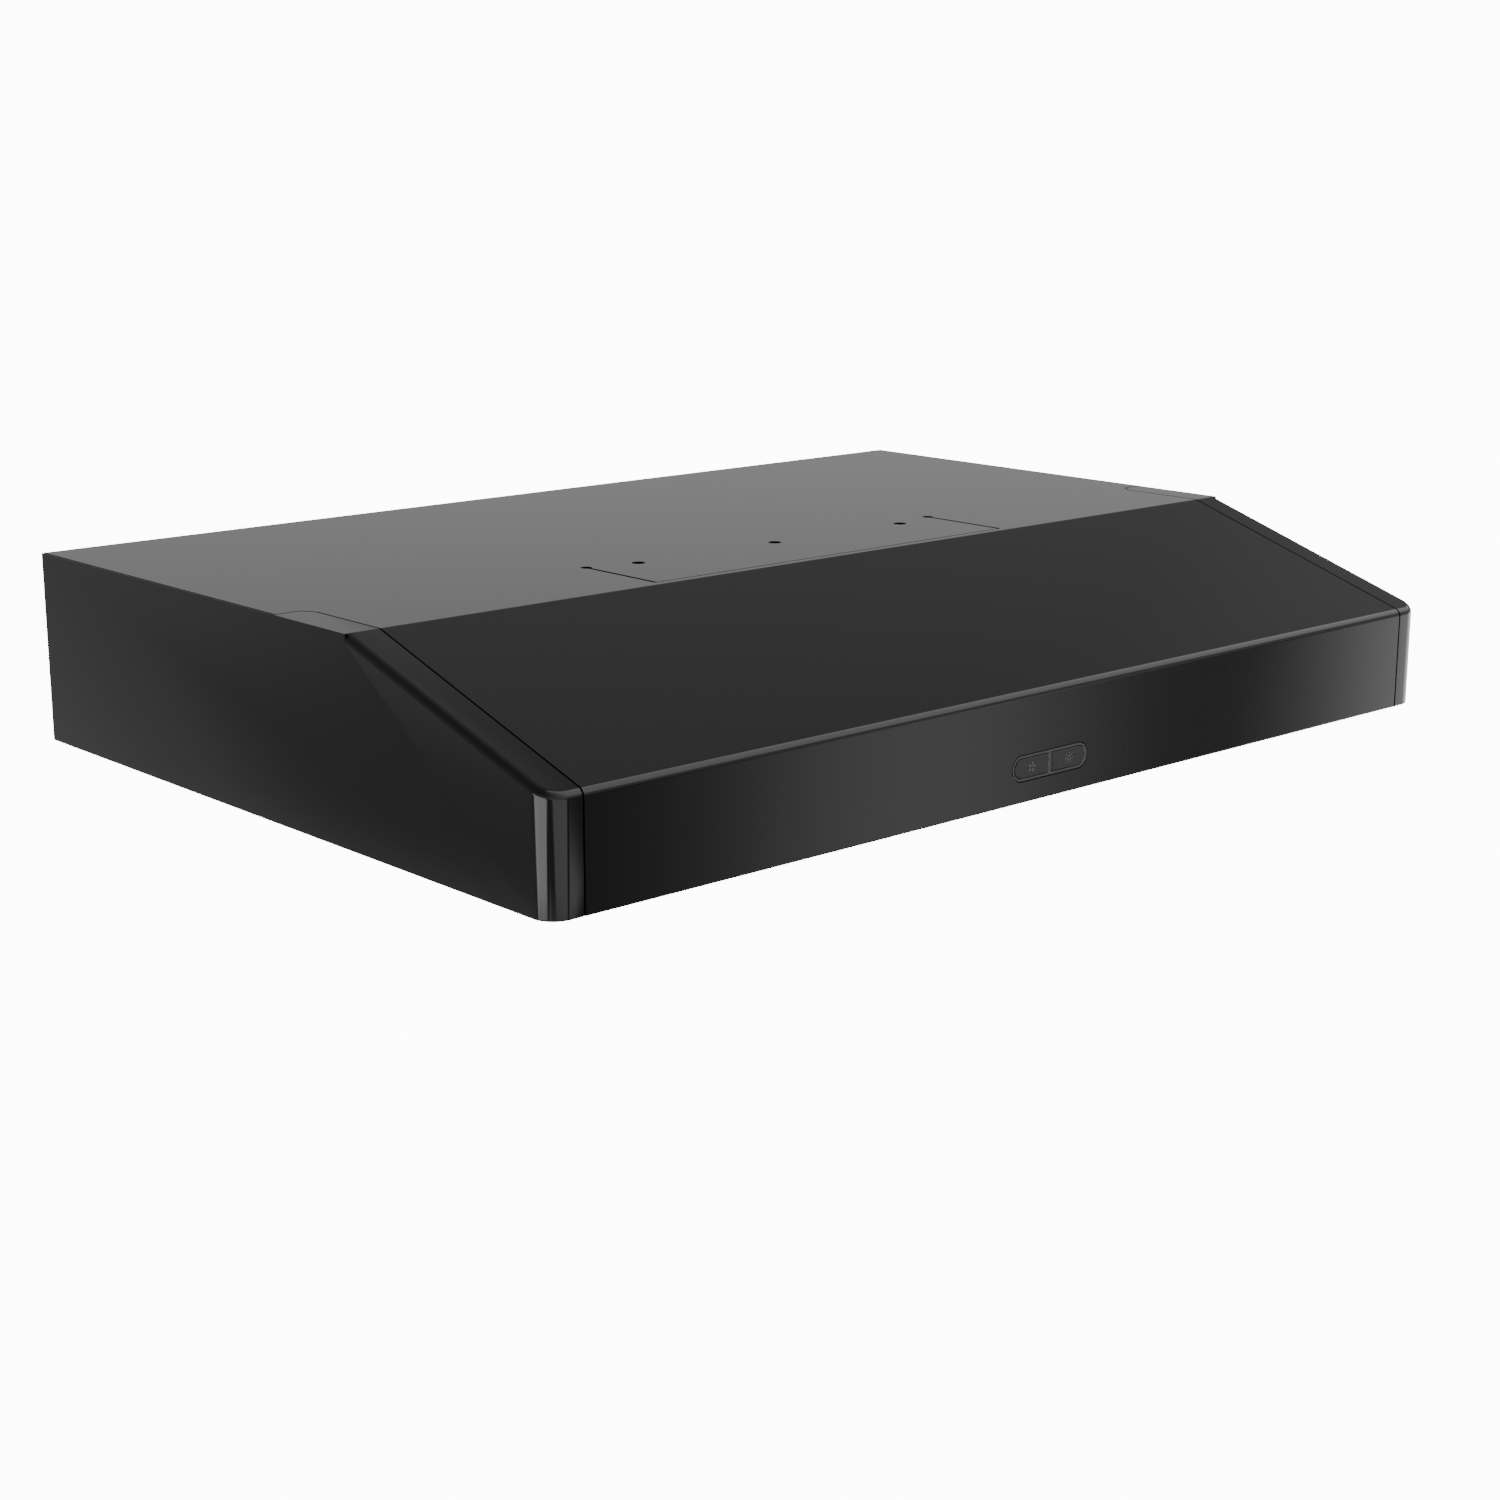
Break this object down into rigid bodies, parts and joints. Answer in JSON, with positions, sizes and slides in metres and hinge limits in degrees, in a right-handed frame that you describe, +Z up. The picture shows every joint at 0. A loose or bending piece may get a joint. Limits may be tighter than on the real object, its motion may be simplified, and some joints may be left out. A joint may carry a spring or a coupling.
{
  "type": "under cabinet range hood",
  "caption": "Low sloping steel hood that hangs under a wall cabinet, with front push buttons, tilting grease filters, a blower and a rear duct collar.",
  "frame": {"origin": "middle of the top face's rear edge, where the cabinet's underside meets the wall", "axes": "+X to the right seen from the front, +Y towards the wall, +Z up, out of the top face"},
  "size_m": [0.7588, 0.5662, 0.1258],
  "materials": {
    "black_paint": "smooth semi-gloss black paint",
    "galvanised": "dull galvanised sheet",
    "seal_rubber": "matt black rubber",
    "wheel_plastic": "moulded black",
    "zinc_steel": "bright zinc plate",
    "motor_steel": "pressed steel",
    "bearing_bronze": "oiled sintered bronze",
    "filter_aluminium": "satin folded sheet",
    "mesh_aluminium": "expanded foil layers",
    "black_plastic": "smooth black moulding",
    "housing_plastic": "plain black moulding",
    "board": "green circuit board",
    "board_white": "white coated board",
    "switch_plastic": "small moulded switch",
    "white_plastic": "plain white moulding",
    "terminal_plastic": "cream moulding",
    "capacitor_case": "grey case",
    "lead_light": "white jacket",
    "lead_dark": "black jacket",
    "black_screw": "blackened screw",
    "frosted_lens": "frosted diffuser"
  },
  "bodies": {
    "hood": {"hood_shell": "black_paint", "left_end_panel": "black_paint", "right_end_panel": "black_paint", "rear_panel": "black_paint", "bottom_pan": "black_paint", "duct_collar": "galvanised", "damper_seal": "seal_rubber", "scroll_wall": "galvanised", "scroll_top_plate": "galvanised", "scroll_inlet_plate": "galvanised", "motor_can": "motor_steel", "motor_cover": "motor_steel", "motor_stator": "motor_steel", "upper_bearing": "bearing_bronze", "lower_bearing": "bearing_bronze", "motor_screws": "zinc_steel", "blower_studs": "zinc_steel", "blower_grommets": "seal_rubber", "blower_nuts": "zinc_steel", "filter_hinge_brackets": "galvanised", "filter_catches": "zinc_steel", "button_bezel": "black_plastic", "control_housing": "housing_plastic", "control_board": "board", "fan_switch": "switch_plastic", "light_switch": "switch_plastic", "control_screws": "zinc_steel", "left_lamp_can": "white_plastic", "left_led_board": "board_white", "left_lamp_lens": "frosted_lens", "right_lamp_can": "white_plastic", "right_led_board": "board_white", "right_lamp_lens": "frosted_lens", "wiring_box": "galvanised", "wiring_box_cover": "galvanised", "terminal_block": "terminal_plastic", "run_capacitor": "capacitor_case", "lamp_driver": "white_plastic", "motor_lead": "lead_light", "control_lead": "lead_dark", "lamp_lead": "lead_light", "rear_screws": "zinc_steel", "pan_screws": "black_screw", "collar_screws": "zinc_steel", "cover_screws": "zinc_steel"},
    "rotor": {"blower_wheel": "wheel_plastic", "wheel_nut": "zinc_steel", "motor_rotor": "motor_steel", "motor_shaft": "zinc_steel"},
    "damper": {"damper_flap": "galvanised"},
    "left_filter": {"left_filter_frame": "filter_aluminium", "left_filter_mesh": "mesh_aluminium", "left_ring_lug": "filter_aluminium"},
    "right_filter": {"right_filter_frame": "filter_aluminium", "right_filter_mesh": "mesh_aluminium", "right_ring_lug": "filter_aluminium"},
    "left_ring": {"left_pull_ring": "zinc_steel"},
    "right_ring": {"right_pull_ring": "zinc_steel"},
    "fan_key": {"fan_button": "black_plastic"},
    "light_key": {"light_button": "black_plastic"}
  },
  "joints": [
    {"name": "blower_spin", "type": "hinge", "parent": "hood", "child": "rotor", "pos_m": [-0.0148, -0.185, -0.0406], "axis": [0, 0, 1], "continuous": true},
    {"name": "damper_swing", "type": "hinge", "parent": "hood", "child": "damper", "pos_m": [0, 0.01, -0.0129], "axis": [1, 0, 0], "range_deg": [0, 75]},
    {"name": "left_filter_tilt", "type": "hinge", "parent": "hood", "child": "left_filter", "pos_m": [-0.145, -0.076, -0.1024], "axis": [1, 0, 0], "range_deg": [0, 60]},
    {"name": "right_filter_tilt", "type": "hinge", "parent": "hood", "child": "right_filter", "pos_m": [0.145, -0.076, -0.1024], "axis": [1, 0, 0], "range_deg": [0, 60]},
    {"name": "left_ring_swing", "type": "hinge", "parent": "left_filter", "child": "left_ring", "pos_m": [-0.145, -0.329, -0.1116], "axis": [1, 0, 0], "range_deg": [-75, 75]},
    {"name": "right_ring_swing", "type": "hinge", "parent": "right_filter", "child": "right_ring", "pos_m": [0.145, -0.329, -0.1116], "axis": [1, 0, 0], "range_deg": [-75, 75]},
    {"name": "fan_button_press", "type": "slide", "parent": "hood", "child": "fan_key", "axis": [0, 1, 0], "range_m": [0, 0.0012], "stiffness_N_per_m": 1500},
    {"name": "light_button_press", "type": "slide", "parent": "hood", "child": "light_key", "axis": [0, 1, 0], "range_m": [0, 0.0012], "stiffness_N_per_m": 1500}
  ]
}
